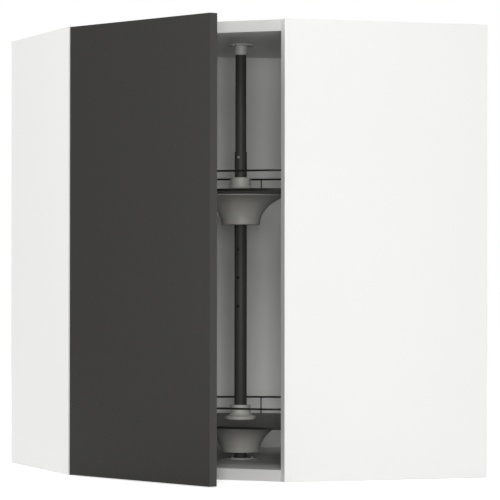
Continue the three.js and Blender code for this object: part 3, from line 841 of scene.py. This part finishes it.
# %% One screw
SCREW_RADIUS = 2.0 * MM
SCREW_TIP = 1.0 * MM
HEAD_RADIUS = 3.8 * MM
HEAD_HEIGHT = 2.3 * MM
RECESS_LENGTH = 4.0 * MM
RECESS_WIDTH = 1.1 * MM
RECESS_DEPTH = 1.5 * MM
RECESS_TAPER = (0.45, 0.7, 1)
DOME = 0.55 * HEAD_HEIGHT


def screw(grip):
    """A screw with the underside of its head at the origin."""
    head = bmesh.new()
    points = profile(head, [(0, -grip), (SCREW_TIP, -grip), (SCREW_RADIUS, SCREW_RADIUS - grip),
                            (SCREW_RADIUS, 0), (HEAD_RADIUS, 0), (HEAD_RADIUS, HEAD_HEIGHT),
                            (0, HEAD_HEIGHT)])
    round_points(head, [points[5]], DOME, 5)
    lathe(head, 32)
    cross = bmesh.new()
    for degrees in (0, 90):
        block = bmesh.ops.create_cube(cross, size=1)["verts"]
        bmesh.ops.scale(cross, verts=block, vec=(RECESS_LENGTH, RECESS_WIDTH, 2 * RECESS_DEPTH))
        tips = [point for point in block if point.co.z < 0]
        bmesh.ops.scale(cross, verts=tips, vec=RECESS_TAPER)
        bmesh.ops.rotate(cross, verts=block, matrix=Matrix.Rotation(math.radians(degrees), 3, "Z"))
        bmesh.ops.translate(cross, verts=block, vec=UP * HEAD_HEIGHT)
    return carved(head, cross)


# %% All the screws
LONG_GRIP = 12.0 * MM
TRAY_GRIP = 6.5 * MM
CUP_GRIP = 10.0 * MM
DOOR_HEADING = 19.8
DOOR_TURN = Matrix.Rotation(math.radians(DOOR_HEADING), 4, "Z")
HEAD_UP = Matrix()
HEAD_DOWN = Matrix.Rotation(math.radians(180), 4, "X")
HEAD_INWARD = Matrix.Rotation(math.radians(-90), 4, "X")
HEAD_ON_DOOR = DOOR_TURN @ HEAD_INWARD
screw_kinds = {grip: screw(grip) for grip in (LONG_GRIP, TRAY_GRIP, CUP_GRIP)}


def put_screw(node, grip, turn):
    """Copies a screw so that it fills the space of a packed one."""
    bm = screw_kinds[grip].copy()
    along = turn.to_3x3() @ UP
    low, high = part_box(node)
    middle = along * (HEAD_HEIGHT - grip) / 2
    place = Matrix.Translation((low + high) / 2 - middle) @ turn
    add_piece(node.replace("screw", "fixing"), bm, body_of[node], "zinc_metal", [node],
              [screw_zinc], place)


for number in (1, 2, 3):
    put_screw(f"floor_flange_screw_{number}", LONG_GRIP, HEAD_UP)
    put_screw(f"ceiling_flange_screw_{number}", LONG_GRIP, HEAD_DOWN)
    put_screw(f"lower_tray_screw_{number}", TRAY_GRIP, HEAD_DOWN)
    put_screw(f"upper_tray_screw_{number}", TRAY_GRIP, HEAD_DOWN)
for level in ("bottom", "top"):
    for end in ("lower", "upper"):
        put_screw(f"hinge_plate_{level}_{end}_screw", LONG_GRIP, HEAD_INWARD)
        put_screw(f"hinge_cup_{level}_{end}_screw", CUP_GRIP, HEAD_ON_DOOR)
for kind in screw_kinds.values():
    kind.free()

# %% [markdown]
# ## Boards, hinges and hangers
# Boards sawn from foil-faced panel have plastic strips glued on their edges, which are scraped to a
# tiny radius that catches the light. The imported nodes have the right shape with knife edges, so a
# copy of each is joined up, its hard edges are bevelled, and its narrow faces get the strip's
# finish. The strips' colours carry painted light: the strip on the lying boards is painted darker as
# painted shade, the strip on the standing boards lighter as painted light where the open door shades
# their front edges, and the door's own strip lighter than its face as a painted highlight. A Bevel
# modifier would do the same, but here the faces can be told apart.

# %% Helpers for copies
BOARD_ROUND = 0.7 * MM
NARROW = 0.9
FLAT_WITHIN = 0.5
SHARP_CORNER = 60
HARDBOARD_ROUND = 0.2 * MM


def joined_copy(node):
    """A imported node's mesh with its loose triangles merged into whole faces."""
    bm = bmesh.new()
    bm.from_mesh(frame["nodes"][node].data)
    merge(bm, SEAM_PLAY)
    bmesh.ops.dissolve_limit(bm, angle_limit=math.radians(FLAT_WITHIN), verts=bm.verts, edges=bm.edges)
    return bm


def board(name, node, across, finishes, rounding=BOARD_ROUND):
    """A board whose faces that don't look across it get the second finish."""
    bm = joined_copy(node)
    ease_edges(bm, rounding, 2, SHARP_CORNER)
    bm.normal_update()
    for face in bm.faces:
        face.material_index = int(abs(face.normal.dot(across)) < NARROW)
    add_piece(name, bm, body_of[node], slot_of[node], [node], finishes)


# %% The carcass
SIDEWAYS = Vector((1, 0, 0))
# The lying boards' edges take the strip with painted shade, the standing boards' edges the strip with
# painted light.
lying_boards = [board_foil, shaded_edge_foil]
standing_boards = [board_foil, lit_side_edge_foil]
board("right_side", "side_panel_right", SIDEWAYS, standing_boards)
board("left_side", "side_panel_left", ACROSS, standing_boards)
board("ceiling", "top_panel", UP, lying_boards)
board("bottom", "bottom_panel", UP, lying_boards)
board("right_back", "back_panel_right", ACROSS, [hardboard_lacquer], HARDBOARD_ROUND)
board("left_back", "back_panel_left", SIDEWAYS, [hardboard_lacquer], HARDBOARD_ROUND)
board("rear_post", "corner_post", UP, [board_foil, board_foil])

# %% The door
DOOR_ROUND = 1.0 * MM
door_across = DOOR_TURN.to_3x3() @ ACROSS
# The door's narrow faces get the edge finish with the painted highlight.
board("door_leaf", "door_panel", door_across, [door_foil, lit_door_edge], DOOR_ROUND)

# %% Hinges and hangers
SHEET_ROUND = 0.35 * MM
MOULD_ROUND = 1.0 * MM


def softened(name, node, rounding):
    bm = joined_copy(node)
    ease_edges(bm, rounding, 2, SHARP_CORNER)
    add_piece(name, bm, body_of[node], slot_of[node], [node])


for level in ("bottom", "top"):
    for part in ("plate", "arm", "link", "cup"):
        softened(f"{level}_hinge_{part}", f"hinge_{part}_{level}", SHEET_ROUND)
for side in ("left", "right"):
    softened(f"{side}_hanger_case", f"hanger_housing_{side}", MOULD_ROUND)
    softened(f"{side}_hanger_hook", f"hanger_hook_{side}", SHEET_ROUND)
softened("locking_screw", "pole_lock_screw", SHEET_ROUND)

# %% [markdown]
# ## Door buffers
# Two small domes of clear rubber on the back of the door soften its stop. Only the lens shape shows,
# so each is spun from a short arc and a flat back.

# %% Buffers
DOOR_CENTRE = Vector((0.0369695, -0.3326773, 0))
BUFFER_RADIUS = 4.5 * MM
BUFFER_HEIGHT = 0.9 * MM
BUFFER_DOME = 0.9 * BUFFER_HEIGHT
BUFFER_PLACE = Vector((397.6, 3.5, 0)) * MM
BUFFER_LEVELS = (11.5 * MM, 788.5 * MM)


def buffer(name, level):
    bm = bmesh.new()
    points = profile(bm, [(0, 0), (BUFFER_RADIUS, 0), (BUFFER_RADIUS, BUFFER_HEIGHT),
                          (0, BUFFER_HEIGHT)])
    round_points(bm, [points[2]], BUFFER_DOME, 6)
    lathe(bm, 48)
    place = (Matrix.Translation(DOOR_CENTRE) @ DOOR_TURN
             @ Matrix.Translation(BUFFER_PLACE + UP * level) @ HEAD_INWARD)
    add_piece(name, bm, "door", None, finishes=[clear_rubber], place=place)


buffer("lower_buffer", BUFFER_LEVELS[0])
buffer("upper_buffer", BUFFER_LEVELS[1])
